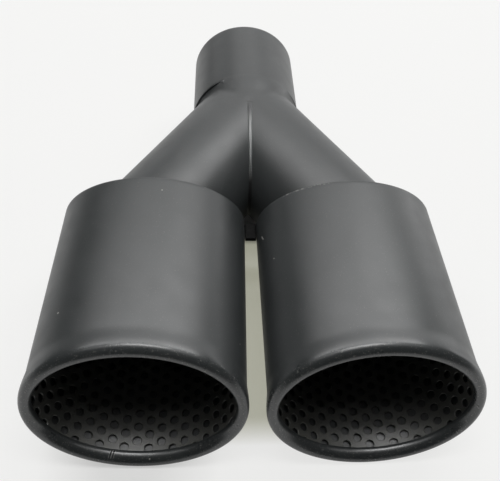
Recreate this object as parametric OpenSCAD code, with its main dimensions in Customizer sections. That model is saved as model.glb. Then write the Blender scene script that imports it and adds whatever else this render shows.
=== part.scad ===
// Twin oval exhaust tip: one inlet pipe, two mitred branch tubes and two slash-cut oval shells.
// +Y points out of the inlet pipe, the mouths face -Y, +Z is up, and the origin is the centre
// of the inlet pipe's open end.

/* [Inlet pipe] */
// Outer diameter of the inlet pipe
inlet_od = 64; // [52:0.5:65]
// Wall of the inlet pipe
inlet_wall = 1.5; // [1:0.1:2.5]
// Length of the inlet pipe
inlet_len = 52; // [30:1:90]

/* [Branch tubes] */
// Wall of each branch tube
branch_wall = 1.5; // [1:0.1:2.5]
// Angle between a branch tube and the inlet pipe
branch_angle = 31.5; // [27:0.5:38]
// Depth that the mitred ends reach into the inlet pipe
branch_insert = 6; // [3:0.5:12]
// Step from the inlet pipe's bore out to the socket that takes the mitred ends
socket_step = 0.4; // [0.2:0.1:0.6]
// Gap between the mitred ends and the wall of the socket at the sides
collar_gap = 1.5; // [0.8:0.1:3]
// Distance that a branch tube enters inboard of its shell's centre
entry_inset = 4.4; // [0:0.1:5]

/* [Oval shells] */
// Width of each oval shell
shell_w = 91.2; // [84:0.1:120]
// Height of each oval shell
shell_h = 67; // [66:0.5:90]
// Length of each shell from its rear edge to the mouth, at mid height
shell_len = 101; // [70:1:160]
// Sheet thickness of the shells
shell_wall = 1.2; // [0.8:0.1:1.8]
// Slope of the slash-cut mouths, bottom lip ahead of the top
slash_angle = 18.5; // [0:0.5:28]
// Gap between the shells at their rear edges
rear_gap = 5.9; // [3:0.1:12]
// Outward turn of each shell
splay = 0.8; // [0:0.1:2]
// Rounding of the shells' rear edges
rear_round = 0.5; // [0.2:0.1:0.7]

/* [Rolled lips] */
// Outward swell of the shell at the lip
lip_flare = 0.8; // [0:0.1:2]
// Length over which the shell swells
flare_len = 9; // [5:0.5:15]
// Inward reach of the lip at the sides of the oval
lip_side = 4.5; // [4.4:0.1:7]
// Inward reach of the lip at the top and bottom of the oval
lip_top = 4.5; // [4.4:0.1:9]
// Depth of the roll's outer half, from crest to swell
roll_out = 3; // [2:0.1:5]
// Depth of the roll's inner half, from crest to hem
roll_in = 3.3; // [3:0.1:7]
// Radius of the hem that curls back behind the lip
hem_r = 2.2; // [2:0.1:2.5]
// Angle through which the hem curls back
hem_turn = 40; // [20:5:45]

/* [Perforated liners] */
// Sheet thickness of the liners
liner_wall = 1; // [0.6:0.1:1.5]
// Gap between a liner and its shell
liner_gap = 0.7; // [0.3:0.1:2]
// Distance of a liner's front edge behind the inner edge of the lip
liner_tuck = 1.3; // [0.4:0.1:8]
// Diameter of a perforation
hole_d = 3.8; // [2:0.1:4.2]
// Columns of perforations round a liner, every other one half a step back
hole_cols = 44; // [26:2:46]
// Distance between neighbouring rings of perforations
row_step = 3.07; // [3:0.01:6]
// Sideways shift of the perforations from the middle of the oval, the same way in both liners
hole_shift = 3.2; // [-5:0.1:5]
// Plain margin between the perforations and the liner's ends
liner_margin = 0.7; // [0.5:0.1:4]

/* [Rear plates] */
// Thickness of the plates that close the shells' rear ends
plate_t = 1.5; // [1:0.1:3]
// Depth of the plates inside the shells' rear edges
plate_recess = 1.2; // [1:0.1:3]
// Least width of a plate between its branch tube and the shell, over the top of the tube
plate_land = 1.4; // [1.2:0.1:4]

/* [Welds] */
// Length of the ground weld over the collar
collar_len = 12; // [8:0.5:16]
// Arc of the collar weld, over the top and again underneath
collar_arc = 66; // [30:1:90]
// Distance of the weld root inside the inlet pipe's rim
root_setback = 0.8; // [0.3:0.1:1]
// Depth of the weld root that closes the socket round the branch tubes
root_depth = 2; // [1:0.1:2]
// Leg of the fillet weld where a branch tube meets its plate
branch_leg = 0.6; // [0.4:0.1:1]
// Leg of the fillet weld round the rim of a plate
rim_leg = 0.6; // [0.4:0.1:1]
// Width of the bead in the saddle between the branch tubes
saddle_w = 2.4; // [1.6:0.1:4]
// Height of that bead over the tubes' skins
saddle_h = 0.8; // [0.4:0.1:1.5]

/* [Spacer] */
// Length of the spacer strip between the shells
spacer_len = 10; // [6:0.5:20]
// Thickness of the spacer strip
spacer_t = 2.4; // [1:0.1:4]
// Distance of the spacer strip ahead of the shells' rear edges
spacer_setback = 0.6; // [0.6:0.1:5]

/* [Hidden] */

// Clearance between pieces that seat against each other
seat = 0.05;
// Sides of a round shape, of an oval loft and of a weld ring
round_sides = 192;
oval_sides = 64;
weld_sides = 72;
hole_sides = 24;
// Length that a cutting shape stands past what it cuts
over = 1;

coat = [0.16, 0.165, 0.17];
inner_coat = [0.11, 0.11, 0.115];
weld_coat = [0.2, 0.205, 0.21];

half_w = shell_w / 2;
half_h = shell_h / 2;
slash = tan(slash_angle);
bore_r = inlet_od / 2 - inlet_wall;
// The branch tubes are as wide as the socket or the shells' height allows
branch_r = min(bore_r + socket_step - seat, half_h - shell_wall - plate_land);
socket_r = branch_r + seat;
// Where the socket is narrower than the bore, the inlet pipe's near end is drawn in to it
neck_r = min(inlet_od / 2, socket_r + inlet_wall);
neck_taper = inlet_od / 2 - neck_r;
centre_x = (rear_gap + shell_w / cos(splay)) / 2;
// Lengths along Y below are counted from the shells' rear edges
meet_y = (centre_x - entry_inset) / tan(branch_angle);
rim_y = meet_y + (branch_r / cos(branch_angle) - socket_r + collar_gap) / tan(branch_angle);
inlet_end_y = rim_y + inlet_len;
plate_back = plate_recess;
plate_front = plate_recess + plate_t;
liner_out = -(shell_wall + liner_gap);
liner_in = liner_out - liner_wall;
liner_rear = plate_front + seat;
liner_setback = roll_in + liner_tuck;
liner_front = shell_len - liner_setback;
// The two fillets on a plate share its narrowest stretch, over the top of the branch tube
fillet_room = (half_h - shell_wall - branch_r - 3 * seat) / 2;
branch_fillet = min(branch_leg, fillet_room);
rim_fillet = min(rim_leg, fillet_room);

// Moves what is built from the shells' rear edges so that the inlet pipe's open end is at 0
module from_inlet() { translate([0, -inlet_end_y, 0]) children(); }

// Builds a right-hand piece, or its mirror image on the left
module sided(side) { if (side > 0) children(); else mirror([1, 0, 0]) children(); }

// Places a right-hand sleeve piece at its centre, turned out by the splay
module in_sleeve() { translate([centre_x, 0, 0]) rotate([0, 0, splay]) children(); }

// Point of an oval with half-width a and half-height b, moved out along its normal by n
function oval_point(a, b, t, n) =
    let (norm = sqrt(pow(b * cos(t), 2) + pow(a * sin(t), 2)))
    [(a + n * b / norm) * cos(t), (b + n * a / norm) * sin(t)];

// Triangles of a closed ring of n sections, each with m points in a closed loop
function ring_faces(n, m) = [
    for (i = [0 : n - 1], j = [0 : m - 1])
        let (a = i * m + j, b = i * m + (j + 1) % m,
             c = ((i + 1) % n) * m + (j + 1) % m, d = ((i + 1) % n) * m + j)
        each [[a, c, b], [a, d, c]]];

module ring_loft(sections) {
    polyhedron(points = [for (s = sections) each s],
               faces = ring_faces(len(sections), len(sections[0])), convexity = 6);
}

// The same for a run of sections with two open ends, each closed by a fan from its first point
function strip_faces(n, m) = concat(
    [for (f = ring_faces(n, m)) if (max(f) - min(f) <= 2 * m) f],
    [for (j = [1 : m - 2]) each [[0, j, j + 1],
        [(n - 1) * m, (n - 1) * m + j + 1, (n - 1) * m + j]]]);

module strip_loft(sections) {
    polyhedron(points = [for (s = sections) each s],
               faces = strip_faces(len(sections), len(sections[0])), convexity = 6);
}

// Sheet profile of the rolled mouth as [outward, behind the mouth plane], outer face first.
// inner is 0 on the outer face of the sheet and the wall on its inner face.
function roll_arc(mid, half, inner, angles) = [
    for (q = angles)
        let (depth = q < 90 ? roll_out : roll_in)
        [mid + (half - inner) * cos(q), depth - (depth - inner) * sin(q)]];
function hem_arc(edge, inner, angles) = [
    for (u = angles)
        [edge + hem_r - (hem_r - inner) * cos(u), roll_in + (hem_r - inner) * sin(u)]];
function flare_line(inner, steps) = [
    for (k = steps)
        [lip_flare * (1 - cos(60 * k)) / 2 - inner, roll_out + flare_len * (3 - k) / 3]];
function mouth_profile(mid, half) = concat(
    flare_line(0, [0, 1, 2]),
    roll_arc(mid, half, 0, [0 : 30 : 180]),
    hem_arc(mid - half, 0, [hem_turn / 2, hem_turn]),
    hem_arc(mid - half, shell_wall, [hem_turn, hem_turn / 2]),
    roll_arc(mid, half, shell_wall, [180 : -30 : 0]),
    flare_line(shell_wall, [2, 1, 0]));
function rear_profile() = [[-shell_wall, 0], [-rear_round, 0], [0, rear_round]];

// One section through the shell's sheet at angle t of the oval
function shell_section(t) =
    let (reach = lip_side + (lip_top - lip_side) * pow(sin(t), 2),
         half = (lip_flare + reach) / 2, mid = lip_flare - half)
    concat(
        [for (p = rear_profile())
            let (o = oval_point(half_w, half_h, t, p[0])) [o[0], -p[1], o[1]]],
        [for (p = mouth_profile(mid, half))
            let (o = oval_point(half_w, half_h, t, p[0]))
            [o[0], p[1] - shell_len + slash * o[1], o[1]]]);

module shell(side) {
    color(coat) from_inlet() sided(side) in_sleeve()
        ring_loft([for (i = [0 : oval_sides - 1]) shell_section(360 * i / oval_sides)]);
}

// The liner's oval outline has one flat for each column of holes, all equally long. Flat 0 lies
// near the bottom, and the flats are counted towards the outer side.
function arc_table(a, b, n) = [
    for (i = 0, s = 0; i <= n;
         s = s + norm(oval_point(a, b, 360 * (i + 1) / n, 0) - oval_point(a, b, 360 * i / n, 0)),
         i = i + 1) [s, 360 * i / n]];
arc_steps = 240;
liner_arc = arc_table(half_w + liner_out, half_h + liner_out, arc_steps);
liner_perimeter = liner_arc[arc_steps][0];
flat_w = liner_perimeter / hole_cols;
function flat_corner(side, k, n) =
    let (s = 0.75 * liner_perimeter + side * hole_shift + (k - 0.5) * flat_w,
         turns = floor(s / liner_perimeter))
    oval_point(half_w, half_h, lookup(s - turns * liner_perimeter, liner_arc), n);
function flat_middle(side, k) =
    (flat_corner(side, k, liner_out) + flat_corner(side, k + 1, liner_out)) / 2;
function flat_turn(side, k) =
    let (d = flat_corner(side, k + 1, liner_out) - flat_corner(side, k, liner_out))
    atan2(-d[0], d[1]);

module liner_outline(side, n) {
    polygon([for (k = [0 : hole_cols - 1]) flat_corner(side, k, n)]);
}

// Slab ahead of a plane that is parallel to the mouth and lies behind it by the given distance
module ahead_of_mouth(behind) {
    translate([0, behind - shell_len, 0]) rotate([-slash_angle, 0, 0])
        translate([-shell_w, -shell_len, -shell_len]) cube([2 * shell_w, shell_len, 2 * shell_len]);
}

// Rows of holes are counted back from the liner's front edge at the bottom of the oval
hole_first = liner_front - slash * flat_middle(1, 0)[1] - liner_margin - hole_d / 2;
hole_last = liner_rear + liner_margin + hole_d / 2;
hole_rows = floor((hole_first - hole_last) / row_step);

module liner_hole(side, k, y) {
    middle = flat_middle(side, k);
    translate([middle[0], -y, middle[1]]) rotate([0, -flat_turn(side, k), 0])
        translate([-liner_wall - over, 0, 0]) rotate([0, 90, 0])
            cylinder(h = liner_wall + 2 * over, d = hole_d, $fn = hole_sides);
}

module liner(side) {
    color(inner_coat) from_inlet() sided(side) in_sleeve() difference() {
        translate([0, -liner_rear, 0]) rotate([90, 0, 0])
            linear_extrude(height = shell_len + slash * half_h) difference() {
                liner_outline(side, liner_out);
                liner_outline(side, liner_in);
            }
        ahead_of_mouth(liner_setback);
        for (k = [0 : hole_cols - 1], row = [k % 2 : 2 : hole_rows]) {
            y = hole_first - row * row_step;
            edge = liner_front - slash * flat_middle(side, k)[1];
            if (y + hole_d / 2 + liner_margin <= edge + seat) liner_hole(side, k, y);
        }
    }
}

module inlet_pipe() {
    profile = concat(
        [[socket_r, 0], [socket_r, branch_insert], [bore_r, branch_insert + neck_taper],
         [bore_r, inlet_len], [inlet_od / 2, inlet_len]],
        neck_taper > 0 ? [[inlet_od / 2, branch_insert + neck_taper], [neck_r, branch_insert]] : [],
        [[neck_r, 0]]);
    color(coat) from_inlet() translate([0, rim_y, 0]) rotate([-90, 0, 0])
        rotate_extrude($fn = round_sides) polygon(profile);
}

// Long round bar on the axis of the right-hand branch tube
module branch_bar(r) {
    reach = inlet_end_y + shell_len;
    translate([0, meet_y, 0]) rotate([90, 0, branch_angle])
        translate([0, 0, -reach]) cylinder(h = 2 * reach, r = r, $fn = round_sides);
}

// Space on the right of the mitre plane, between two planes across Y
module right_of_mitre(y_low, y_high) {
    translate([0, y_low, -inlet_od]) cube([2 * shell_w, y_high - y_low, 2 * inlet_od]);
}

// Outside form of both mitred branch tubes, as a cutter for what lies on them
module branch_forms() {
    for (side = [-1, 1]) sided(side) intersection() {
        branch_bar(branch_r);
        right_of_mitre(-plate_front, inlet_end_y);
    }
}

// A branch tube ends at the mitre plane, inside the inlet pipe and level with its plate's face
module branch(side) {
    color(coat) from_inlet() sided(side) difference() {
        intersection() {
            branch_bar(branch_r);
            right_of_mitre(-shell_len, rim_y + branch_insert);
        }
        branch_bar(branch_r - branch_wall);
        in_sleeve() translate([-2 * shell_w, -2 * shell_len - plate_front, -shell_h])
            cube([4 * shell_w, 2 * shell_len, 2 * shell_h]);
    }
}

module rear_plate(side) {
    color(coat) from_inlet() sided(side) difference() {
        in_sleeve() ring_plate();
        branch_bar(branch_r + seat);
    }
}

// Oval plate that fits inside the shell's rear end
module ring_plate() {
    rim = -(shell_wall + seat);
    translate([0, -plate_back, 0]) rotate([90, 0, 0]) linear_extrude(height = plate_t)
        polygon([for (i = [0 : oval_sides - 1])
            oval_point(half_w, half_h, 360 * i / oval_sides, rim)]);
}

// Fillet weld in the corner between the plate and the inside of the shell
module rim_weld(side) {
    wall = -(shell_wall + seat);
    face = -plate_back + 2 * seat;
    leg = rim_fillet;
    profile = [[wall, face], [wall, face + leg], [wall - leg / 2, face + leg / 2],
        [wall - leg, face]];
    color(weld_coat) from_inlet() sided(side) in_sleeve() ring_loft([
        for (i = [0 : oval_sides - 1]) [
            for (p = profile)
                let (o = oval_point(half_w, half_h, 360 * i / oval_sides, p[0]))
                [o[0], p[1], o[1]]]]);
}

// Point on the branch tube's skin, grown by n, in the plane y and at angle t round the tube
function skin_point(y, t, n) =
    [(meet_y - y) * tan(branch_angle) + (branch_r + n) / cos(branch_angle) * cos(t),
     y, (branch_r + n) * sin(t)];

// Fillet weld between a branch tube and the rear face of its plate
module branch_weld(side) {
    face = -plate_back + 2 * seat;
    leg = branch_fillet;
    profile = [[seat, face], [leg, face], [leg / 2, face + leg / 2], [seat, face + leg]];
    color(weld_coat) from_inlet() sided(side) ring_loft([
        for (i = [0 : weld_sides - 1]) [
            for (p = profile) skin_point(p[1], 360 * i / weld_sides, p[0])]]);
}

// Ground weld that fills the step between the inlet pipe's rim and the branch tubes
module collar_weld(top) {
    turn = top ? -90 : 90;
    inside = branch_r - 3 * inlet_wall;
    color(weld_coat) from_inlet() difference() {
        rotate([-90, 0, 0]) rotate([0, 0, turn - collar_arc / 2])
            rotate_extrude(angle = collar_arc, $fn = round_sides) polygon([
                [inside, rim_y - seat], [neck_r - seat, rim_y - seat],
                [neck_r - 0.4 * inlet_wall, rim_y - 0.6 * collar_len],
                [branch_r + seat, rim_y - collar_len], [inside, rim_y - collar_len]]);
        branch_forms();
    }
}

// Weld root that closes the gap between the socket and the branch tubes all round
module collar_root() {
    color(weld_coat) from_inlet() difference() {
        translate([0, rim_y + root_setback, 0]) rotate([-90, 0, 0]) difference() {
            cylinder(h = root_depth, r = socket_r - seat, $fn = round_sides);
            translate([0, 0, -over])
                cylinder(h = root_depth + 2 * over, r = branch_r - 3 * inlet_wall, $fn = round_sides);
        }
        branch_forms();
    }
}

// Point over the skins of the mitred tubes, at x from the mitre plane and angle t on its ellipse
function valley_point(t, x, n) =
    [x, meet_y - ((branch_r + n) * cos(t) + abs(x) * cos(branch_angle)) / sin(branch_angle),
     (branch_r + n) * sin(t)];

// Bead along the mitre line, from the collar weld over the top round the crotch to underneath
module saddle_weld() {
    half = saddle_w / 2;
    t_end = acos((meet_y - rim_y + collar_len + seat) * sin(branch_angle) / branch_r);
    profile = [[0, seat], [-half, seat], [-half / 2, 0.75 * saddle_h], [0, saddle_h],
        [half / 2, 0.75 * saddle_h], [half, seat]];
    color(weld_coat) from_inlet() strip_loft([
        for (i = [0 : weld_sides])
            [for (p = profile) valley_point(t_end * (2 * i / weld_sides - 1), p[0], p[1])]]);
}

// Strip between the shells' flanks, where they come closest
module shell_spacer() {
    function flank(y) = rear_gap / 2 + y * tan(splay) - seat;
    y_near = spacer_setback;
    y_far = spacer_setback + spacer_len;
    color(coat) from_inlet() translate([0, 0, -spacer_t / 2]) linear_extrude(height = spacer_t)
        polygon([[-flank(y_near), -y_near], [flank(y_near), -y_near], [flank(y_far), -y_far],
            [-flank(y_far), -y_far]]);
}

inlet_pipe();
branch(-1);  // left_branch
branch(1);  // right_branch
collar_weld(true);  // collar_weld_top
collar_weld(false);  // collar_weld_bottom
collar_root();
saddle_weld();
shell(-1);  // left_shell
shell(1);  // right_shell
liner(-1);  // left_liner
liner(1);  // right_liner
rear_plate(-1);  // left_rear_plate
rear_plate(1);  // right_rear_plate
rim_weld(-1);  // left_rim_weld
rim_weld(1);  // right_rim_weld
branch_weld(-1);  // left_branch_weld
branch_weld(1);  // right_branch_weld
shell_spacer();
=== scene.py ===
# %% [markdown]
# # Twin oval exhaust tip
# The object is one welded assembly of tube and sheet, coated satin black. A round inlet pipe
# splits into two mitred branch tubes, and each feeds an oval shell with a slash-cut mouth, a
# rolled lip and a perforated liner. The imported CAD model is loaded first. It fixes every place
# and size, and each piece below is a finer form of one of its nodes.

# %% Load the frame
import math
import bmesh
import bpy
import numpy as np
from mathutils import Matrix, Vector, noise


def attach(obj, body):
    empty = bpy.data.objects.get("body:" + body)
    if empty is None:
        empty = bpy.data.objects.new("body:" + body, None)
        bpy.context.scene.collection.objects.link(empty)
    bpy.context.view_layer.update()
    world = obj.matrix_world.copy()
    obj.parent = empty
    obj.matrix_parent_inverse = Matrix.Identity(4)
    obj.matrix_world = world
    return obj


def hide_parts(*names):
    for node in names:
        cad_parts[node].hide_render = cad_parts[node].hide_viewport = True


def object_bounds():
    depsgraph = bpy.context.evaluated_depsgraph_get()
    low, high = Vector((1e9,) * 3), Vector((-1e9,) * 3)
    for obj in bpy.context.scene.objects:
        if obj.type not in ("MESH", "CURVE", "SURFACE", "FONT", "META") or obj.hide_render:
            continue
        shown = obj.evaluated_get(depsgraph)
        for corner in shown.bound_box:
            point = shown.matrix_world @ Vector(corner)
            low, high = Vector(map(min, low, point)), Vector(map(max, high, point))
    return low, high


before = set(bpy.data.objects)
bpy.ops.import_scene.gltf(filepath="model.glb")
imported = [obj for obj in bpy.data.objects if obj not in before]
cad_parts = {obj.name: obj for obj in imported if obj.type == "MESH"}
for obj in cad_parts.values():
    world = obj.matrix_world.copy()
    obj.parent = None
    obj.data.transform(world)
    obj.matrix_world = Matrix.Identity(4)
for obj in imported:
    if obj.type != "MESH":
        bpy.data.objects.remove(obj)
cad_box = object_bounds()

MM = 0.001
print("CAD box, mm:", [round(v / MM, 1) for corner in cad_box for v in corner])

# %% [markdown]
# Lengths are written in millimetres, as on the drawing, and counted along Y from the rear edges
# of the shells. The frame's origin lies at the inlet pipe's open end, so one shift brings a
# point from the drawing into the frame.

# %% Sizes from the drawing
INLET_R, BORE_R, SOCKET_R, INLET_LEN = 32.0, 30.5, 30.9, 52.0
BRANCH_R, TUBE_WALL, BRANCH_INSERT = 30.85, 1.5, 6.0
HALF_W, HALF_H, SHELL_LEN, SHELL_WALL = 45.6, 33.5, 101.0, 1.2
SLASH, SPLAY, BRANCH_TURN = math.tan(math.radians(18.5)), math.radians(0.8), math.radians(31.5)
REAR_GAP, ENTRY_INSET, COLLAR_GAP = 5.9, 4.4, 1.5
LIP_FLARE, FLARE_LEN, LIP_REACH, ROLL_OUT, ROLL_IN = 0.8, 9.0, 4.5, 3.0, 3.3
HEM_R, HEM_TURN = 2.2, math.radians(40)
SEAT = 0.05             # clearance between pieces that touch
LIP_BACK = 0.12         # draws the rounder lip back into the CAD's box
LINER_TUCK = 1.3        # from the lip's rolled-in edge to the liner's front
TUBE_SIDES, TUBE_STEPS = 192, 6

CENTRE_X = (REAR_GAP + 2 * HALF_W / math.cos(SPLAY)) / 2
MEET_Y = (CENTRE_X - ENTRY_INSET) / math.tan(BRANCH_TURN)
RIM_Y = MEET_Y + (BRANCH_R / math.cos(BRANCH_TURN) - SOCKET_R + COLLAR_GAP) / math.tan(BRANCH_TURN)
INLET_END_Y = RIM_Y + INLET_LEN
print("rim of the inlet pipe at", round(RIM_Y, 2), "mm, open end at", round(INLET_END_Y, 2))


def in_frame(x, y, z):
    """A point of the drawing, in millimetres, as a point of the frame, in metres."""
    return Vector((x, y - INLET_END_Y, z)) * MM


def in_sleeve(side, x, back, z):
    """A point of a sleeve: x out from its centre, back behind the rear edge, z up."""
    right = CENTRE_X + x * math.cos(SPLAY) + back * math.sin(SPLAY)
    return in_frame(side * right, x * math.sin(SPLAY) - back * math.cos(SPLAY), z)


def oval(angle, outward):
    """A point of the shell's oval at an angle in radians, moved out along its normal."""
    c, s = math.cos(angle), math.sin(angle)
    across = math.hypot(HALF_H * c, HALF_W * s)
    return (HALF_W + outward * HALF_H / across) * c, (HALF_H + outward * HALF_W / across) * s


# %% [markdown]
# The camera stands where the photographer stood: above the mouths and a little to the left,
# looking down at the shells. A flat pale floor touches the lowest lip.

# %% Camera and floor
CAMERA_AT = Vector((-18.31, -316.29, 217.67)) * MM
PITCH, YAW, ROLL = 0.9047, 0.1050, 0.0917
forward = Vector((math.sin(YAW) * math.cos(PITCH), math.cos(YAW) * math.cos(PITCH), -math.sin(PITCH)))
level = Vector((math.cos(YAW), -math.sin(YAW), 0))
upward = level.cross(forward)
camera_x = level * math.cos(ROLL) + upward * math.sin(ROLL)
camera_y = upward * math.cos(ROLL) - level * math.sin(ROLL)

bpy.ops.object.camera_add(location=CAMERA_AT)
camera = bpy.context.object
camera.matrix_world = Matrix.Translation(CAMERA_AT) @ Matrix(
    (camera_x, camera_y, -forward)).transposed().to_4x4()
camera.data.sensor_width = 36
camera.data.lens = 39.01
camera.data.clip_start = 0.01
bpy.context.scene.camera = camera

FLOOR_Z = cad_box[0].z
bpy.ops.mesh.primitive_plane_add(size=8, location=(0, 0, FLOOR_Z - 0.0002))
floor = bpy.context.object
floor.name = "studio_floor"
print("camera at", [round(c / MM, 1) for c in CAMERA_AT], "mm, floor at", round(FLOOR_Z / MM, 1))


# %% [markdown]
# Nearly every sheet and tube here is a section carried round a closed path, so one helper does
# it the way a hand would: a circle is added, extruded again and again, and each new ring is put
# on the next section. The last ring is bridged to the first, which closes the wall.

# %% Helper: extrude rings
def start_clean():
    if bpy.context.object and bpy.context.object.mode != "OBJECT":
        bpy.ops.object.mode_set(mode="OBJECT")
    bpy.ops.object.select_all(action="DESELECT")


def ringed(name, rings, close=True):
    """Extrudes a circle through the rings, each a list of points, and closes the wall."""
    start_clean()
    count = len(rings[0])
    bpy.ops.mesh.primitive_circle_add(vertices=count, radius=0.01, fill_type="NOTHING")
    piece = bpy.context.object
    piece.name = piece.data.name = name
    piece.matrix_world = Matrix.Identity(4)
    bpy.ops.object.mode_set(mode="EDIT")
    mesh = bmesh.from_edit_mesh(piece.data)
    mesh.verts.ensure_lookup_table()
    start = mesh.verts[0]
    order, edge = [start], start.link_edges[0]
    while len(order) < count:
        order.append(edge.other_vert(order[-1]))
        edge = next(e for e in order[-1].link_edges if e != edge)
    ring = [v.index for v in order]
    for number, points in enumerate(rings):
        if number:
            bpy.ops.mesh.extrude_edges_move()
            mesh = bmesh.from_edit_mesh(piece.data)
            mesh.verts.index_update()
            mesh.verts.ensure_lookup_table()
            ring = [next(e.other_vert(mesh.verts[i]).index for e in mesh.verts[i].link_edges
                         if e.other_vert(mesh.verts[i]).select) for i in ring]
        for i, point in zip(ring, points):
            mesh.verts[i].co = point
    if close:
        bpy.ops.mesh.select_all(action="DESELECT")
        bpy.ops.mesh.select_mode(type="EDGE")
        for edge in mesh.edges:
            edge.select_set(edge.is_boundary)
        bpy.ops.mesh.bridge_edge_loops()
        bpy.ops.mesh.select_mode(type="VERT")
    bpy.ops.mesh.select_all(action="SELECT")
    bpy.ops.mesh.normals_make_consistent(inside=False)
    bpy.ops.object.mode_set(mode="OBJECT")
    return piece


def finish_piece(piece, nodes, angle=35):
    """Smooths the faces, keeps edges over the angle crisp, and puts the piece in the frame."""
    start_clean()
    piece.select_set(True)
    bpy.context.view_layer.objects.active = piece
    bpy.ops.object.shade_smooth_by_angle(angle=math.radians(angle))
    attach(piece, "root")
    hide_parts(*nodes)
    piece.data.materials.clear()
    print(piece.name, len(piece.data.polygons), "faces")
    return piece


# %% [markdown]
# ## Oval shells
# Each shell is sheet rolled into an oval. At its mouth the sheet swells a little, rolls inwards
# over a soft crest and curls back in a short hem. The mouth is slanted, so every section keeps
# its distance from one slanted plane. The sheet's outline is written once and carried round. The
# lip here is rounder than the CAD's, so it is drawn back a little and stays inside the CAD's box.

# %% Sheet outline of a shell
ROUND_STEPS, SWELL_STEPS, CREST_STEPS, HEM_STEPS = 288, 12, 24, 6


def mouth_outline(inner):
    """Outline of the rolled mouth: outward and behind the mouth plane, from rear to hem."""
    half = (LIP_FLARE + LIP_REACH) / 2
    middle = LIP_FLARE - half
    outline = []
    for k in range(SWELL_STEPS):
        share = k / SWELL_STEPS
        swell = LIP_FLARE * (1 - math.cos(math.pi * share)) / 2
        outline.append((swell - inner, ROLL_OUT + FLARE_LEN * (1 - share)))
    for k in range(CREST_STEPS + 1):
        q = math.pi * k / CREST_STEPS
        depth = ROLL_OUT if q < math.pi / 2 else ROLL_IN
        outline.append((middle + (half - inner) * math.cos(q), depth - (depth - inner) * math.sin(q)))
    for k in range(1, HEM_STEPS + 1):
        u = HEM_TURN * k / HEM_STEPS
        outline.append((middle - half + HEM_R - (HEM_R - inner) * math.cos(u),
                        ROLL_IN + (HEM_R - inner) * math.sin(u)))
    return outline


def shell_rings(side):
    """Rings of a shell: its rounded rear edge, then the mouth's outline out and back inside."""
    rear = [(-SHELL_WALL, 0), (-0.5, 0), (-0.25, 0.07), (-0.07, 0.25), (0, 0.5), (0, 2)]
    mouth = mouth_outline(0) + mouth_outline(SHELL_WALL)[::-1]
    sections = [(outward, back, 0) for outward, back in rear]
    sections += [(outward, SHELL_LEN - LIP_BACK - depth, SLASH) for outward, depth in mouth]
    rings = []
    for outward, back, slant in sections:
        ring = []
        for i in range(ROUND_STEPS):
            x, z = oval(2 * math.pi * i / ROUND_STEPS, outward)
            ring.append(in_sleeve(side, x, back - slant * z, z))
        rings.append(ring)
    return rings


shells = {}
for side, word in ((-1, "left"), (1, "right")):
    shell = ringed(word + "_oval_shell", shell_rings(side))
    shells[word] = finish_piece(shell, [word + "_shell"])

# %% [markdown]
# ## Perforated liners
# A liner is perforated sheet rolled into an oval a little smaller than the shell. One way is to
# cut hundreds of cylinders out of an oval tube, which is slow and leaves long thin faces. Here
# the sheet is made flat, as the real one is: one square tile with one hole is modelled, copied in
# columns that are staggered by half a tile, and the finished sheet is then rolled up.

# %% Liner sizes
PLATE_RECESS, PLATE_T = 1.2, 1.5
LINER_OUT, LINER_WALL = -(SHELL_WALL + 0.7), 1.0
LINER_REAR, LINER_FRONT = PLATE_RECESS + PLATE_T + SEAT, SHELL_LEN - ROLL_IN - LINER_TUCK
HOLE_R, COLUMNS, ROW_STEP, HOLE_SHIFT, MARGIN = 1.9, 44, 3.07, 3.2, 0.7
LOWEST = 0.75       # share of the girth at which the oval is lowest
CUT_HOLES = 0.5     # how far past the front edge the centre of a cut hole may lie

turns = np.linspace(0, 2 * math.pi, 1441)
girth = np.hypot(np.diff((HALF_W + LINER_OUT) * np.cos(turns)),
                 np.diff((HALF_H + LINER_OUT) * np.sin(turns)))
girth = np.concatenate([[0], np.cumsum(girth)])
ROUND = girth[-1]
TILE_W = ROUND / COLUMNS
print("liner", round(ROUND, 2), "mm round, tiles", round(TILE_W, 3), "mm wide")


def turn_at(along):
    """Angle on the oval at a length along the liner's girth."""
    return float(np.interp(along % ROUND, girth, turns))


def front_edge(along):
    """Distance of the liner's slanted front edge behind the shells' rear edges."""
    return LINER_FRONT - SLASH * oval(turn_at(along), LINER_OUT)[1]


FIRST_ROW = front_edge(LOWEST * ROUND + HOLE_SHIFT) - MARGIN - HOLE_R
LAST_ROW = int((FIRST_ROW - LINER_REAR - MARGIN - HOLE_R) / ROW_STEP)
print("up to", LAST_ROW + 1, "rows of holes")


# %% [markdown]
# The tile starts as a circle whose points are moved to a rectangle, and it is extruded inwards to
# the hole. A plain tile is a small grid with the same points on its sides, so the two kinds join.

# %% Liner tiles
half_rim = [(1, k / 3) for k in range(-3, 4)] + [(0, 1)]
side_points = half_rim + [(-x, -y) for x, y in half_rim]
tile_rim = [Vector((x * TILE_W / 2, y * ROW_STEP, 0)) * MM for x, y in side_points]
hole_rim = [point.normalized() * HOLE_R * MM for point in tile_rim]
hole_tile = ringed("hole_tile", [tile_rim, hole_rim], close=False)
start_clean()
bpy.ops.mesh.primitive_grid_add(x_subdivisions=2, y_subdivisions=6, size=1)
plain_tile = bpy.context.object
plain_tile.scale = (TILE_W * MM, 2 * ROW_STEP * MM, 1)
bpy.ops.object.transform_apply()
print("tiles of", len(hole_tile.data.vertices), "and", len(plain_tile.data.vertices), "points")


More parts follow.
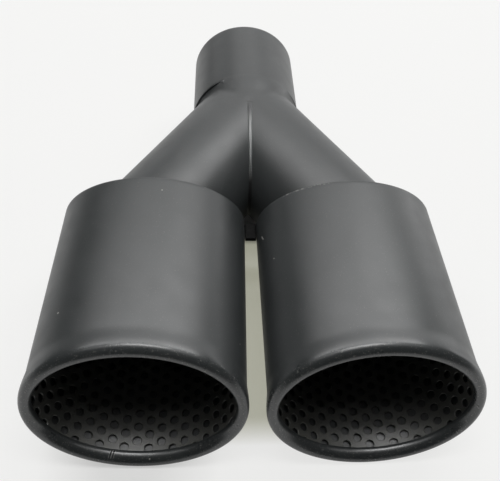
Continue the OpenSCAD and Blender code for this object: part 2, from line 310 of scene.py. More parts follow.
# %% Copy the tiles into a flat sheet
def strip(tile, across, back, count):
    """A strip of copies of a tile, from one place towards the rear."""
    start_clean()
    tile.select_set(True)
    bpy.context.view_layer.objects.active = tile
    bpy.ops.object.duplicate()
    copy = bpy.context.object
    copy.location = (across * MM, back * MM, 0)
    array = copy.modifiers.new("rows", "ARRAY")
    array.count = count
    array.use_relative_offset, array.use_constant_offset = False, True
    array.constant_offset_displace = (0, -2 * ROW_STEP * MM, 0)
    bpy.ops.object.modifier_apply(modifier=array.name)
    return copy


def drifted(along, back, drift):
    """Distance behind the rear edges after the rows have run off a little, as on a coil."""
    return back - drift * math.sin(2 * math.pi * (along / ROUND - LOWEST))


def flat_sheet(side, drift):
    """The unrolled sheet: along the girth in x, behind the shells' rear edges in y."""
    strips = []
    for column in range(COLUMNS):
        along = LOWEST * ROUND + side * HOLE_SHIFT + column * TILE_W
        first = FIRST_ROW - (column % 2) * ROW_STEP
        edge = front_edge(along)
        spots = {number: drifted(along, first - 2 * ROW_STEP * number, drift)
                 for number in range(-1, LAST_ROW // 2 + 4)}
        rows = [number for number, back in spots.items()
                if LINER_REAR - ROW_STEP - 1 < back < edge + ROW_STEP + 4]
        holed = [number for number in rows if 0 <= column % 2 + 2 * number <= LAST_ROW
                 and LINER_REAR + HOLE_R + MARGIN <= spots[number] <= edge + CUT_HOLES]
        ahead = [number for number in rows if number < holed[0]]
        behind = [number for number in rows if number > holed[-1]]
        for tile, run in ((plain_tile, ahead), (hole_tile, holed), (plain_tile, behind)):
            if run:
                strips.append(strip(tile, along, first - 2 * ROW_STEP * run[0], len(run)))
    start_clean()
    for part in strips:
        part.select_set(True)
    bpy.context.view_layer.objects.active = strips[0]
    bpy.ops.object.join()
    bpy.ops.object.transform_apply()
    return bpy.context.object


# %% [markdown]
# The flat sheet is wrapped round the oval and trimmed along the slanted front plane and at the
# rear plate. On the left liner the rows of holes drift by 1.5 mm round the oval, as if its sheet
# had been rolled up a little askew.

# %% Roll and trim the sheet
def liner_ends(side):
    """The two planes that end a liner, each a point on it and the way out."""
    ahead = (in_sleeve(side, 0, 1, 0) - in_sleeve(side, 0, 0, 0)).normalized()
    mouth_way = (ahead + SLASH * Vector((0, 0, 1))).normalized()
    return ((in_sleeve(side, 0, LINER_FRONT, 0), mouth_way),
            (in_sleeve(side, 0, LINER_REAR, 0), -ahead))


def roll_and_trim(liner, side, drift):
    """Wraps the flat sheet round the oval and cuts both ends."""
    for vertex in liner.data.vertices:
        along, back, _ = (c / MM for c in vertex.co)
        x, z = oval(turn_at(along), LINER_OUT - LINER_WALL)
        vertex.co = in_sleeve(side, x, drifted(along, back, drift), z)
    bpy.ops.object.mode_set(mode="EDIT")
    bpy.ops.mesh.select_all(action="SELECT")
    bpy.ops.mesh.remove_doubles(threshold=0.01 * MM)
    for at, way in liner_ends(side):
        bpy.ops.mesh.select_all(action="SELECT")
        bpy.ops.mesh.bisect(plane_co=at, plane_no=way, clear_outer=True, threshold=0.001 * MM)
    bpy.ops.mesh.select_all(action="SELECT")
    bpy.ops.mesh.normals_make_consistent(inside=False)
    bpy.ops.object.mode_set(mode="OBJECT")


# %% [markdown]
# The rolled sheet gets its thickness, and a bevel then breaks the punched edges of the holes,
# which is what makes them catch the light. A bevel is only as wide as its shortest edge lets it
# be, and the trimmed ends have very short ones. So each edge has a weight: 1 round the holes, and
# 0 on the ends and close to them. The bevel's own faces get the second material slot, and their
# numbers are kept for a paler coat, a painted glint on the rims of the holes.

# %% Thicken the sheet and break the hole edges
BURR_W, END_BAND = 0.19, 0.6


def thicken(liner):
    """Gives the sheet its wall, outwards from the inner face."""
    wall = liner.modifiers.new("wall", "SOLIDIFY")
    wall.thickness, wall.offset = LINER_WALL * MM, 1
    bpy.ops.object.modifier_apply(modifier=wall.name)


def break_hole_edges(liner, side):
    """Bevels the edges of the holes and returns the numbers of the faces this makes."""
    sheet = bmesh.new()
    sheet.from_mesh(liner.data)
    weight = sheet.edges.layers.float.new("bevel_weight_edge")
    ends = liner_ends(side)
    for edge in sheet.edges:
        inside = all((v.co - at).dot(way) < -END_BAND * MM for v in edge.verts for at, way in ends)
        edge[weight] = 1.0 if inside and edge.calc_face_angle(0) > math.radians(60) else 0.0
    sheet.to_mesh(liner.data)
    sheet.free()
    liner.data.materials.append(None)
    liner.data.materials.append(None)
    burr = liner.modifiers.new("broken edges", "BEVEL")
    burr.width, burr.segments, burr.limit_method = BURR_W * MM, 1, "WEIGHT"
    burr.material = 1
    bpy.ops.object.modifier_apply(modifier=burr.name)
    return [face.index for face in liner.data.polygons if face.material_index == 1]


# %% Both liners
liners, burrs = {}, {}
for side, word, drift in ((-1, "left", 1.5), (1, "right", 0.0)):
    liner = flat_sheet(side, drift)
    liner.name = liner.data.name = word + "_perforated_liner"
    roll_and_trim(liner, side, drift)
    thicken(liner)
    burrs[word] = break_hole_edges(liner, side)
    liners[word] = finish_piece(liner, [word + "_liner"])
for tile in (hole_tile, plain_tile):
    bpy.data.objects.remove(tile)

# %% [markdown]
# ## Tubes
# The branch tubes are round, and each is cut on slanted planes: on the middle plane, where it
# meets its twin, and level with the plate that it passes through. A tube's straight lines are
# followed to those planes, so the two ends come out exactly, with no cutting.

# %% Branch tubes
TURN_C, TURN_S = math.cos(BRANCH_TURN), math.sin(BRANCH_TURN)


def tube_point(side, radius, turn, reach):
    """A point of a branch tube: on the line at an angle round its axis, at a reach along it."""
    c, s = math.cos(turn), math.sin(turn)
    x = radius * c * TURN_C + reach * TURN_S
    y = MEET_Y + radius * c * TURN_S - reach * TURN_C
    return in_frame(side * x, y, radius * s)


def mitre_reach(radius, turn, y_end):
    """Reach of the line's inlet end: on the middle plane, or where y_end comes first."""
    c = math.cos(turn)
    return max(-radius * c * TURN_C / TURN_S, (MEET_Y + radius * c * TURN_S - y_end) / TURN_C)


def plate_reach(radius, turn, back):
    """Reach at which the line passes the plane at a distance behind the shell's rear edge."""
    c = math.cos(turn)
    off = radius * c * (TURN_S * math.cos(SPLAY) - TURN_C * math.sin(SPLAY))
    run = back + CENTRE_X * math.sin(SPLAY) + MEET_Y * math.cos(SPLAY) + off
    return run / math.cos(BRANCH_TURN - SPLAY)


round_turns = [2 * math.pi * i / TUBE_SIDES for i in range(TUBE_SIDES)]
TUBE_END = RIM_Y + BRANCH_INSERT
tubes = {}
for side, word in ((-1, "left"), (1, "right")):
    rings = []
    steps = range(TUBE_STEPS + 1)
    for radius, order in ((BRANCH_R, steps), (BRANCH_R - TUBE_WALL, reversed(steps))):
        for k in order:
            share = k / TUBE_STEPS
            rings.append([tube_point(side, radius, t, mitre_reach(radius, t, TUBE_END) * (1 - share)
                                     + plate_reach(radius, t, PLATE_RECESS + PLATE_T) * share)
                          for t in round_turns])
    tube = ringed(word + "_branch_tube", rings)
    tubes[word] = finish_piece(tube, [word + "_branch"], 30)

# %% [markdown]
# The inlet pipe is turned: its wall is an outline carried round the axis. Sawn edges on tube are
# never quite sharp, so each corner of the outline gets a few points.

# %% Inlet pipe
near_rim = [(SOCKET_R, BRANCH_INSERT), (SOCKET_R, 0.25), (SOCKET_R + 0.07, 0.07),
            (SOCKET_R + 0.25, 0), (INLET_R - 0.28, 0), (INLET_R - 0.08, 0.08), (INLET_R, 0.28)]
outside = [(INLET_R, y) for y in (2, 18, 34, 50)]
far_rim = [(INLET_R, -0.4), (INLET_R - 0.07, -0.17), (INLET_R - 0.2, -0.05), (INLET_R - 0.4, 0),
           (BORE_R + 0.4, 0), (BORE_R + 0.18, -0.05), (BORE_R + 0.05, -0.17), (BORE_R, -0.4),
           (BORE_R, -12)]
inlet_outline = near_rim + outside + [(r, INLET_LEN + y) for r, y in far_rim] + [(BORE_R, BRANCH_INSERT)]
rings = [[in_frame(r * math.cos(t), RIM_Y + y, r * math.sin(t)) for t in round_turns]
         for r, y in inlet_outline]
inlet = ringed("slip_on_inlet", rings)
inlet = finish_piece(inlet, ["inlet_pipe"], 30)

# %% [markdown]
# ## Rear plates
# Each shell is closed behind by an oval plate with a hole for its branch tube. The hole is a
# slanted cut through the plate, so its edge is found on the tube's own lines.

# %% Rear plates
AIM_IN = 0.09 * HALF_W      # how far in the centre lies from which the rim's points are aimed


def plate_ring(side, share, back):
    """A ring of the plate, from the hole's edge at share 0 to its rim at share 1."""
    ring = []
    for t in round_turns:
        hole = tube_point(side, BRANCH_R + SEAT, t, plate_reach(BRANCH_R + SEAT, t, back))
        inner_x = (side * hole.x / MM - CENTRE_X) / math.cos(SPLAY)
        inner_z = hole.z / MM
        turn = math.atan2(inner_z / HALF_H, (inner_x + AIM_IN) / HALF_W)
        rim = oval(turn, -(SHELL_WALL + SEAT))
        ring.append(in_sleeve(side, inner_x + (rim[0] - inner_x) * share, back,
                              inner_z + (rim[1] - inner_z) * share))
    return ring


plates = {}
for side, word in ((-1, "left"), (1, "right")):
    near, far = PLATE_RECESS, PLATE_RECESS + PLATE_T
    rings = [plate_ring(side, 0, far), plate_ring(side, 0, near), plate_ring(side, 0.5, near),
             plate_ring(side, 0.97, near), plate_ring(side, 1, near + 0.2), plate_ring(side, 1, far),
             plate_ring(side, 0.5, far)]
    plate = ringed(word + "_end_plate", rings)
    plates[word] = finish_piece(plate, [word + "_rear_plate"], 30)

# %% [markdown]
# ## Welds
# A weld bead under a coat of paint is a soft, uneven ridge. Each bead is a small outline carried
# along its joint, and its height and width wander a little, with faint ripples from the torch.

# %% Fillet beads round the plates
def wander(along, seed, step=5.0):
    """Slow uneven change along a weld, from -1 to 1."""
    return 2 * noise.noise(Vector((along / step, seed, 0.3)))


def ripple(along, pitch=1.3):
    """Ridges left by the torch, from -1 to 1."""
    return math.sin(2 * math.pi * along / pitch)


def round_of(turn, step):
    """Point on a circle in noise space, so that a pattern closes after one turn."""
    return Vector((math.cos(turn), math.sin(turn), 0.1)) * step


BEAD_STEPS = 576
bead_turns = [2 * math.pi * i / BEAD_STEPS for i in range(BEAD_STEPS)]
welds = []
for side, word in ((-1, "left"), (1, "right")):
    face = -PLATE_RECESS + 2 * SEAT
    bead = [(0, 0), (1, 0), (0.8, 0.42), (0.42, 0.8), (0, 1)]
    rings = []
    for across, up in bead:
        ring = []
        for t in bead_turns:
            leg = 0.6 + 0.05 * math.sin(110 * t) * min(across, 1) + 0.06 * noise.noise(round_of(t, 9))
            x, z = oval(t, -(SHELL_WALL + SEAT) - leg * across)
            ring.append(in_sleeve(side, x, -face - leg * up, z))
        rings.append(ring)
    rim_bead = ringed(word + "_rim_bead", rings)
    welds.append(finish_piece(rim_bead, [word + "_rim_weld"], 50))
    rings = []
    for across, up in bead:
        ring = []
        for t in bead_turns:
            leg = 0.6 + 0.05 * math.sin(96 * t) * min(across, 1) + 0.06 * noise.noise(round_of(t, 8))
            radius = BRANCH_R + SEAT + leg * across
            ring.append(tube_point(side, radius, t, plate_reach(radius, t, -face - leg * up)))
        rings.append(ring)
    tube_bead = ringed(word + "_tube_bead", rings)
    welds.append(finish_piece(tube_bead, [word + "_branch_weld"], 50))


# %% [markdown]
# Over the top of the collar the weld has been ground flush, so the inlet pipe runs into the two
# branch tubes without a step. Towards the sides, and more on the left, the grinding stops short:
# the pipe's rim stands proud there, with a dark line along it and a small drip of metal. Underneath
# it is the same. The weld is a thin skin whose height comes from the two surfaces it joins, and
# its edges dip just under them, so no line shows.

# %% Helpers for a flush weld
def skin_radius(turn, y, radius=BRANCH_R):
    """Distance of the branch tubes' skin from the inlet's axis, at an angle round it."""
    c, s = abs(math.cos(turn)), math.sin(turn)
    w = (y - MEET_Y) * TURN_S
    a, b = s * s + (c * TURN_C) ** 2, c * TURN_C * w
    return (-b + math.sqrt(max(b * b - a * (w * w - radius * radius), 0))) / a


def smooth(low, high, value):
    """Rises softly from 0 at low to 1 at high."""
    share = min(max((value - low) / (high - low), 0), 1)
    return share * share * (3 - 2 * share)


def soft_max(a, b, width):
    """The larger of two heights, with a soft fillet where they cross."""
    share = min(max(0.5 + 0.5 * (a - b) / width, 0), 1)
    return b + (a - b) * share + width * share * (1 - share)


def close_ends(piece):
    """Fills the open ends of a ringed piece."""
    bpy.ops.object.mode_set(mode="EDIT")
    bpy.ops.mesh.select_all(action="SELECT")
    bpy.ops.mesh.fill_holes(sides=0)
    bpy.ops.mesh.normals_make_consistent(inside=False)
    bpy.ops.object.mode_set(mode="OBJECT")
    return piece


# %% Height of the ground weld
COLLAR_SPAN, COLLAR_HALF, COLLAR_REACH = 85, 120, 21
collar_stations = [5, 4, 3, 2, 1, 0.4, 0.05, -0.03, -0.1, -0.3, -0.7]
collar_stations += [-1.2 - 1.04 * k for k in range(20)]


def collar_radius(turn, offset):
    """Radius of the ground weld at an angle and a distance behind the inlet pipe's rim."""
    skin = skin_radius(turn, RIM_Y + offset)
    lean = math.degrees(turn) - 90
    fill = smooth(84, 74, abs(lean))
    if offset > 0:      # a film ground thin over the pipe, only where the weld is flush
        on_pipe = smooth(5, 0, offset) * smooth(31, 25, lean) * smooth(-58, -36, lean)
        return INLET_R - 0.06 + 0.11 * on_pipe
    # The weld starts a step below the pipe's rim and runs down to the branch tubes' skin.
    step = 1.15 * smooth(24, 44, lean) + 0.4 * smooth(-38, -62, lean)
    length = 5 + 16 * smooth(58, 12, abs(lean))
    wall = INLET_R + 0.05 - step - (INLET_R - BRANCH_R + 0.3) * smooth(0, 1, -offset / length)
    merged = soft_max(wall, skin + 0.02, 0.9) - 0.2 * smooth(0.8, 1.02, -offset / COLLAR_REACH)
    drip = 0.5 * math.exp(-((lean - 27) / 1.1) ** 2 - ((offset + 0.4) / 0.8) ** 2)
    uneven = 0.05 * noise.noise(Vector((turn * 9, offset / 3.5, 2.0))) + drip
    return skin - 0.08 + (merged - skin + 0.08 + uneven) * fill


# %% Flush collar weld
def collar_strip(name, sign):
    """The weld's skin from side to side, over the top for sign 1 and underneath for sign -1."""
    sections = []
    for i in range(-COLLAR_HALF, COLLAR_HALF + 1):
        turn = math.pi / 2 + math.radians(COLLAR_SPAN * i / COLLAR_HALF)
        top = [(collar_radius(turn, offset), offset) for offset in collar_stations]
        under = [(min(INLET_R, r) - 0.5, offset) for r, offset in reversed(top)]
        sections.append([in_frame(r * math.cos(turn), RIM_Y + offset, sign * r * math.sin(turn))
                         for r, offset in top + under])
    return close_ends(ringed(name, sections, close=False))


top_weld = collar_strip("flush_collar_top", 1)
welds.append(finish_piece(top_weld, ["collar_weld_top"], 50))
under_weld = collar_strip("flush_collar_under", -1)
welds.append(finish_piece(under_weld, ["collar_weld_bottom"], 50))

# %% [markdown]
# Behind the rim, a root weld closes the gap all round. It is a lumpy ring that reaches from the
# socket in to the branch tubes' skin.

# %% Root weld
rings = []
for where, depth in ((0, 0.4), (0.3, 0.65), (0.7, 0.65), (1, 0.4), (1, 2.75), (0, 2.75)):
    ring = []
    for t in round_turns:
        outer = SOCKET_R - SEAT
        inner = skin_radius(t, RIM_Y + depth) - 0.4
        uneven = 0.12 * noise.noise(round_of(t, 6) + Vector((0, 0, where))) if depth < 2 else 0
        r = inner + (outer - inner) * where
        ring.append(in_frame(r * math.cos(t), RIM_Y + depth + uneven, r * math.sin(t)))
    rings.append(ring)
root = ringed("collar_root_bead", rings)
welds.append(finish_piece(root, ["collar_root"], 50))


# %% [markdown]
# The bead in the valley follows the line on which the two tubes meet: from the flush weld on top,
# round the crotch, to underneath. The line lies on an ellipse in the middle plane. The bead is
# low deep in the crotch, grows higher where it climbs, and wider on top, and sinks away before
# it reaches the collar.

# %% Saddle bead
def valley_point(turn, x, out):
    """A point at an angle along the valley, x to the side and out from the tubes' skin."""
    run = ((BRANCH_R + out) * math.cos(turn) + abs(x) * TURN_C) / TURN_S
    return in_frame(x, MEET_Y - run, (BRANCH_R + out) * math.sin(turn))


SADDLE_STEPS, SADDLE_LEN = 400, 120
saddle_outline = [(0, -0.12), (-1.0, -0.06), (-0.85, 0.34), (-0.5, 0.78),
                  (0, 1), (0.5, 0.78), (0.85, 0.34), (1.0, -0.06)]
sections = []
for i in range(SADDLE_STEPS + 1):
    share = 2 * i / SADDLE_STEPS - 1
    turn = math.radians(89.6) * share
    steep = math.degrees(abs(turn))
    along = SADDLE_LEN / 2 * share
    width = 0.85 + 0.45 * smooth(30, 54, along) + 0.1 * wander(along, 1.7) + 0.04 * ripple(along)
    height = (-0.1 + (0.45 + 0.6 * smooth(26, 44, steep)) * smooth(86, 70, steep)
              + 0.1 * wander(along, 4.1) + 0.05 * ripple(along))
    lean = 0.12 * wander(along, 7.3, 8)
    sections.append([valley_point(turn, width * a + lean * max(b, 0), height * b if b > 0 else b)
                     for a, b in saddle_outline])
saddle = close_ends(ringed("saddle_bead", sections, close=False))
welds.append(finish_piece(saddle, ["saddle_weld"], 60))

# %% [markdown]
# ## Spacer
# A short strip holds the shells apart near their rear edges. It is a cube whose corners are moved
# to the shells' flanks, with its edges bevelled.

# %% Spacer strip
start_clean()
bpy.ops.mesh.primitive_cube_add(size=2)
spacer = bpy.context.object
spacer.name = spacer.data.name = "flank_spacer"
for vertex in spacer.data.vertices:
    x, y, z = vertex.co
    back = 0.6 if y > 0 else 10.6
    vertex.co = in_frame(x * (REAR_GAP / 2 - back * math.tan(SPLAY) - SEAT), -back, z * 1.2)
bpy.ops.object.mode_set(mode="EDIT")
bpy.ops.mesh.select_all(action="SELECT")
bpy.ops.mesh.bevel(offset=0.35 * MM, segments=3, affect="EDGES")
bpy.ops.object.mode_set(mode="OBJECT")
spacer = finish_piece(spacer, ["shell_spacer"], 40)

# %% [markdown]
# ## Light
# The object stood under large soft panels. A narrow bright key almost overhead draws the sharp
# highlights on the lips' crests. A wide panel behind it lights the ridges of the shells, one
# overhead lights their tops, and a faint one fills in from the front. Behind the object stand a
# panel on the right and a lower one in the middle, and two low walls, one long and one on the
# right, close the sweep near the floor. Each is an area lamp that faces the object. Its power is
# written as its brightness times its area, so it can grow without getting brighter.

# %% Soft lamps
AIM = Vector((0, -0.14, 0.03))
LAMP_REACH = 1.5


def soft_lamp(name, aside, above, width, height, brightness):
    """An area lamp: degrees aside to the right, then degrees up from the back over the top."""
    a, e = math.radians(aside), math.radians(above)
    out = Vector((math.sin(a), math.cos(a) * math.cos(e), math.cos(a) * math.sin(e)))
    across = Vector((math.cos(a), -math.sin(a) * math.cos(e), -math.sin(a) * math.sin(e)))
    start_clean()
    bpy.ops.object.light_add(type="AREA")
    lamp = bpy.context.object
    lamp.name = lamp.data.name = name
    lamp.matrix_world = Matrix.Translation(AIM + out * LAMP_REACH) @ Matrix(
        (across, out.cross(across), out)).transposed().to_4x4()
    lamp.data.shape = "RECTANGLE"
    lamp.data.size, lamp.data.size_y = width, height
    lamp.data.energy = math.pi * width * height * brightness
    lamp.visible_camera = False
    print(name, round(lamp.data.energy, 2), "W")


soft_lamp("key_lamp", 0, 83, 1.0, 0.28, 9.6)
soft_lamp("ridge_lamp", 0, 60, 2.9, 0.42, 3.7)
soft_lamp("overhead_lamp", 0, 91, 2.9, 0.45, 1.4)
soft_lamp("front_fill", 0, 108, 2.2, 0.40, 0.1)
soft_lamp("back_right_lamp", 28, 52, 0.75, 0.8, 1.75)
soft_lamp("back_lamp", 0, 30, 0.75, 0.42, 1.3)
soft_lamp("low_wall", 10, 12, 3.0, 0.42, 1.35)
soft_lamp("right_wall", 60, 14, 0.9, 0.5, 1.55)

# %% [markdown]
# The world gives the object no light of its own. It shows to the camera alone, as a pale backdrop
# past the edge of the floor.

# %% Backdrop
BACKDROP = 0.93
world = bpy.data.worlds.new("studio")
bpy.context.scene.world = world
world.use_nodes = True
tree = world.node_tree
backdrop = tree.nodes["Background"]
path = tree.nodes.new("ShaderNodeLightPath")
strength = tree.nodes.new("ShaderNodeMapRange")
strength.inputs["To Max"].default_value = BACKDROP
tree.links.new(path.outputs["Is Camera Ray"], strength.inputs["Value"])
tree.links.new(strength.outputs["Result"], backdrop.inputs["Strength"])
backdrop.inputs["Color"].default_value = (1, 1, 1, 1)
bpy.context.scene.view_settings.view_transform = "Standard"
print("backdrop at", BACKDROP, "for the camera")

# %% [markdown]
# ## Finishes
# The whole tip wears one coat of matt black heat-resistant paint. Up close it isn't even: the
# sprayed film has a fine pebbled grain, its gloss drifts from patch to patch, and dust sits in
# it. A small helper adds the nodes, and every pattern reads Object coordinates in metres.

# %% Helper: shader nodes
class Finish:
    """A material with its shader, and short calls that add and link nodes."""

    def __init__(self, name, colour, roughness):
        self.material = bpy.data.materials.new(name)
        self.material.use_nodes = True
        self.tree = self.material.node_tree
        self.shader = self.tree.nodes["Principled BSDF"]
        self.shader.inputs["Base Color"].default_value = (*colour, 1)
        self.shader.inputs["Roughness"].default_value = roughness
        self.place = self.tree.nodes.new("ShaderNodeTexCoord").outputs["Object"]
        self.polish = 1.0
        print("finish", name)

    def fill(self, socket, value):
        """Links a socket to a value that is one, or sets it."""
        if isinstance(value, bpy.types.NodeSocket):
            self.tree.links.new(value, socket)
        else:
            socket.default_value = value

    def put(self, kind, into=None, **values):
        """A node of a kind, with its inputs set by name or linked, and its settings from into."""
        node = self.tree.nodes.new("ShaderNode" + kind)
        for key, value in (into or {}).items():
            setattr(node, key, value)
        for key, value in values.items():
            name = key.replace("_", " ")
            self.fill(next(i for i in node.inputs if i.name == name and i.enabled), value)
        return node

    def set(self, name, value):
        self.tree.links.new(value, self.shader.inputs[name])

    def noise(self, scale, detail=2.0):
        return self.put("TexNoise", Vector=self.place, Scale=scale, Detail=detail).outputs["Fac"]

    def against(self, operation, vector):
        """A number made from the place and a fixed vector, such as the distance between them."""
        node = self.put("VectorMath", {"operation": operation}, Vector=self.place)
        node.inputs[1].default_value = vector
        return node.outputs["Value"]

    def spread(self, value, low, high, start, end):
        """A value between low and high, stretched to lie between start and end."""
        node = self.put("MapRange", From_Min=low, From_Max=high, To_Min=start, To_Max=end, Value=value)
        return node.outputs["Result"]

    def blend(self, share, first, second):
        """The first colour where the share is 0, and the second where it is 1."""
        node = self.put("Mix", {"data_type": "RGBA"}, Factor=share, A=first, B=second)
        return next(o for o in node.outputs if o.enabled)

    def combine(self, operation, first, *others):
        """One number from several, joined from the left."""
        for other in others:
            node = self.put("Math", {"operation": operation})
            self.fill(node.inputs[0], first)
            self.fill(node.inputs[1], other)
            first = node.outputs["Value"]
        return first

    def times(self, *values):
        return self.combine("MULTIPLY", *values)

    def largest(self, *values):
        return self.combine("MAXIMUM", *values)

    def off(self, value, middle):
        """How far a value lies from a middle, on either side."""
        return self.combine("ABSOLUTE", self.combine("SUBTRACT", value, middle), 0)


# %% Sprayed coat
COAT_SPECULAR, GLOSS_DRIFT, PATCH_PALER = 0.86, 0.035, 1.18
DUST = (0.22, 0.22, 0.21, 1)


def sprayed_coat(name, colour, roughness, grain, marks=None):
    """Matt black paint: pebbled grain, drifting gloss and fine dust, and marks of its own."""
    finish = Finish(name, colour, roughness)
    finish.shader.inputs["Specular IOR Level"].default_value = COAT_SPECULAR
    patches = finish.spread(finish.noise(38, 3), 0.35, 0.65, 0, 1)
    dust = finish.spread(finish.noise(2600, 0), 0.76, 0.82, 0, 1)
    paler = tuple(min(1, c * PATCH_PALER) for c in colour)
    tone = finish.blend(patches, (*colour, 1), (*paler, 1))
    tone = finish.blend(finish.times(dust, 0.35), tone, DUST)
    if marks:
        tone = marks(finish, tone)
    finish.set("Base Color", tone)
    gloss = finish.spread(finish.noise(120, 3), 0.3, 0.7,
                          roughness - GLOSS_DRIFT, roughness + GLOSS_DRIFT)
    finish.set("Roughness", finish.times(gloss, finish.polish))
    pebbles = finish.times(finish.noise(1500, 2), grain)
    height = finish.combine("ADD", pebbles, finish.times(finish.noise(160, 1), 0.3))
    bump = finish.put("Bump", Strength=0.25, Distance=0.06 * MM, Height=height)
    finish.set("Normal", bump.outputs["Normal"])
    return finish


# %% [markdown]
# The shells have been handled. A few chips show as pale specks, and the coat is worn on one rear
# edge. Along the lips pale specks are painted too: partly wear from rubbing, and partly the painted
# sparkle of the crests' highlights. Each mark is a mask from 0 to 1, made from the place on the
# shell: a chip from the distance to its centre, the worn edge and the lips from the distance behind
# them, broken up by noise.

# %% Specks of handling and painted sparkle
BARE = (0.5, 0.49, 0.46, 1)
CHIPS = [(-45.9, -244.7, -29.5, 0.42), (4.9, -151.0, 9.0, 0.6), (5.1, -152.0, 9.4, 0.6),
         (5.3, -153.0, 9.9, 0.5), (9.1, -169.2, 16.1, 0.42), (-80.9, -203.0, 24.3, 0.5),
         (-7.4, -211.1, 12.7, 0.4), (-42.8, -143.0, 33.2, 0.4), (-32.9, -240.6, -26.4, 0.4)]


def specks(finish, x, y, behind_lip):
    """Mask of the chips, the worn rear edge on the right, and the lips' specks of wear and painted
    sparkle.
    """
    chips = [finish.spread(finish.against("DISTANCE", Vector(spot) * MM), size / 2 * MM, size * MM, 1, 0)
             for *spot, size in CHIPS]
    behind_edge = finish.combine("ADD", y, (INLET_END_Y + 0.35) * MM)
    on_edge = finish.times(finish.spread(behind_edge, -1.2 * MM, -0.8 * MM, 0, 1),
                           finish.spread(x, 0.012, 0.016, 0, 1), finish.spread(x, 0.034, 0.038, 1, 0))
    worn = finish.times(on_edge, finish.spread(finish.noise(800, 1), 0.53, 0.62, 0, 0.5))
    # Lips' specks: wear from rubbing, and painted sparkle of the crest highlight.
    on_lip = finish.spread(behind_lip, 2.0 * MM, 4.2 * MM, 1, 0)
    lip_wear_and_sparkle = finish.times(on_lip, finish.spread(finish.noise(1500, 1), 0.63, 0.71, 0, 0.3))
    return finish.largest(*chips, worn, lip_wear_and_sparkle)


# %% [markdown]
# The left mouth's lower lip has two short scratches side by side. Each is a dull line painted dark,
# as painted shade in its groove, with a pale rim that is a painted highlight on its edges. They lie
# along one direction, so their masks come from how far a place lies across it and from how far
# along Y. The crests of the lips are also smoother than the rest, so their highlights are sharper.

# %% Scratches and all marks together
SCRATCH_AT, SCRATCH_ACROSS = Vector((-62.1, -242.8, 0)) * MM, Vector((0.964, -0.266, 0))
# Painted shade for the scratches' grooves and painted highlight for their rims.
SCRATCH_GROOVE_SHADE, SCRATCH_RIM_HIGHLIGHT = (0.004, 0.005, 0.006, 1), (0.25, 0.25, 0.24, 1)


def scratches(finish, y, z):
    """Masks of the two scratches: their lines of painted shade and their rims of painted highlight."""
    across = finish.against("DOT_PRODUCT", SCRATCH_ACROSS)
    line = finish.off(finish.off(across, SCRATCH_AT.dot(SCRATCH_ACROSS)), 0.55 * MM)
    near = finish.times(finish.spread(finish.off(y, SCRATCH_AT.y), 1.5 * MM, 1.9 * MM, 1, 0),
                        finish.spread(z, -0.02, -0.022, 0, 1))
    dark = finish.times(near, finish.spread(line, 0.2 * MM, 0.34 * MM, 1, 0))
    rim = finish.spread(finish.off(line, 0.46 * MM), 0.06 * MM, 0.2 * MM, 1, 0)
    return dark, finish.times(near, rim)


def handling_and_painted_light(finish, tone):
    """Adds the marks to the coat's tone, polishes the crests and dulls the scratches."""
    x, y, z = finish.put("SeparateXYZ", Vector=finish.place).outputs
    behind_lip = finish.combine("ADD", y, finish.times(z, -SLASH), (INLET_END_Y + SHELL_LEN) * MM)
    dark, rim = scratches(finish, y, z)
    tone = finish.blend(finish.times(specks(finish, x, y, behind_lip), 0.75), tone, BARE)
    # Painted highlight on the scratches' rims.
    tone = finish.blend(finish.times(rim, 0.6), tone, SCRATCH_RIM_HIGHLIGHT)
    crests = finish.spread(behind_lip, 3.4 * MM, 5.5 * MM, 0.7, 1)
    finish.polish = finish.combine("ADD", crests, finish.times(dark, 1.5))
    # Painted shade in the scratches' grooves.
    return finish.blend(dark, tone, SCRATCH_GROOVE_SHADE)


# %% [markdown]
# The bead in the valley is painted paler on its upper part. This is partly wear from rubbing where
# a hand reaches it, and partly a painted highlight where the overhead light reaches it. Deep in the
# crotch its coat is painted darker than the rest, as painted shade, and at its upper end, where it
# runs out under the collar, it keeps the plain coat's tone.

# %% Bead: wear from rubbing, painted highlight and painted shade
RUB_AND_HIGHLIGHT, KEPT = (0.15, 0.158, 0.156, 1), (0.03, 0.032, 0.0325, 1)


def rub_and_highlight_above(finish, tone):
    height = finish.put("SeparateXYZ", Vector=finish.place).outputs["Z"]
    # Paler above 13 mm: wear from rubbing, and a painted highlight of the overhead light.
    tone = finish.blend(finish.spread(height, 0.013, 0.022, 0, 1), tone, RUB_AND_HIGHLIGHT)
    return finish.blend(finish.spread(height, 0.0292, 0.0303, 0, 1), tone, KEPT)


# %% [markdown]
# The liners' coat is paler and greyer than the shells'. Its punched edges are paler still, a
# painted glint on the rims of the holes. The spacer between the shells is painted nearly black,
# with little sheen, as painted shade deep between them.

# %% Coats
COAT = (0.029, 0.032, 0.0325)
coat = sprayed_coat("satin_black_coat", COAT, 0.41, 1.0)
shell_coat = sprayed_coat("handled_coat_painted_light", COAT, 0.41, 1.0, handling_and_painted_light)
liner_coat = sprayed_coat("liner_black_coat", (0.072, 0.073, 0.066), 0.43, 1.2)
weld_coat = sprayed_coat("coated_weld_black", COAT, 0.40, 1.4)
# Its own tone, darker than the coat, is painted shade deep in the crotch.
bead_coat = sprayed_coat("bead_rub_and_painted_light", (0.015, 0.015, 0.015), 0.34, 1.2, rub_and_highlight_above)
# Painted glint: the punched edges get a paler coat than the liner, for the light their rims catch.
glint_edge_coat = sprayed_coat("punched_edge_painted_glint", (0.13, 0.13, 0.12), 0.34, 1.0)
# Painted shade: the spacer's coat is near black with its sheen turned down, for the shade between the
# shells.
spacer_shade_coat = sprayed_coat("spacer_painted_shade_black", (0.006, 0.006, 0.006), 0.6, 1.0)
spacer_shade_coat.shader.inputs["Specular IOR Level"].default_value = 0.06

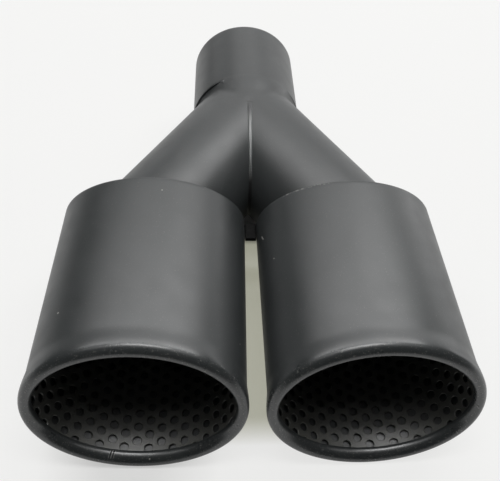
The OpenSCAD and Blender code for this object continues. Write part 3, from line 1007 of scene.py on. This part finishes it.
# %% [markdown]
# The floor is pale paper with faint fibres. To show nearly white it would need so much light that
# the coat turned grey, so the paper glows by itself where the camera sees it, and half as much in
# reflections. The rest of its tone comes from the lamps and keeps the object's shadow. The glow
# is weaker in three places that the object shades: under the crotch, between the shells, where
# the light is also warmer, and round the left mouth's lower lip.

# %% Pale floor
PAPER_GLOW, WARM_GLOW, GLOW_SHARE, GAP_SHADE = (0.93, 0.93, 0.92, 1), (0.58, 0.58, 0.46, 1), 0.8, 0.32
paper = Finish("pale_floor", (0.78, 0.78, 0.775), 0.9)
fibres = paper.spread(paper.noise(420, 2), 0.3, 0.7, 0, 1)
paper.set("Base Color", paper.blend(fibres, (0.78, 0.78, 0.772, 1), (0.80, 0.80, 0.795, 1)))
x, y, _ = paper.put("SeparateXYZ", Vector=paper.place).outputs
sideways = paper.combine("ABSOLUTE", x, 0)
in_crotch = paper.times(paper.spread(y, -0.125, -0.117, 0, 1), paper.spread(y, -0.06, -0.03, 1, 0),
                        paper.spread(sideways, 0.03, 0.055, 1, 0))
in_gap = paper.times(paper.spread(y, -0.238, -0.225, 0, GAP_SHADE), paper.spread(y, -0.1, -0.09, 1, 0),
                     paper.spread(sideways, 0.01, 0.03, 1, 0))
under_lip = paper.spread(paper.against("DISTANCE", (-0.055, -0.243, 0)), 0.012, 0.040, 0.34, 0)
pale = paper.combine("SUBTRACT", 1.0, paper.largest(under_lip, in_crotch, in_gap))

# %% Glow of the floor
rays = paper.put("LightPath").outputs
seen = paper.largest(rays["Is Camera Ray"], paper.times(rays["Is Glossy Ray"], 0.5))
tint = paper.blend(paper.spread(in_gap, 0, GAP_SHADE, 0, 1), PAPER_GLOW, WARM_GLOW)
glow = paper.put("Emission", Color=tint, Strength=1.0)
mix = paper.put("MixShader")
paper.fill(mix.inputs[0], paper.times(pale, seen, GLOW_SHARE))
paper.fill(mix.inputs[1], paper.shader.outputs[0])
paper.fill(mix.inputs[2], glow.outputs[0])
paper.fill(paper.tree.nodes["Material Output"].inputs["Surface"], mix.outputs[0])
print("floor glows by", GLOW_SHARE, "of its tone for the camera")

# %% Dress the pieces
floor.data.materials.append(paper.material)
for piece in [*tubes.values(), *plates.values(), inlet]:
    piece.data.materials.append(coat.material)
for piece in shells.values():
    piece.data.materials.append(shell_coat.material)
spacer.data.materials.append(spacer_shade_coat.material)
for word, piece in liners.items():
    piece.data.materials.append(liner_coat.material)
    piece.data.materials.append(glint_edge_coat.material)
    for index in burrs[word]:
        piece.data.polygons[index].material_index = 1
    print(piece.name, len(burrs[word]), "faces on the punched edges")
for piece in welds[:-1]:
    piece.data.materials.append(weld_coat.material)
saddle.data.materials.append(bead_coat.material)
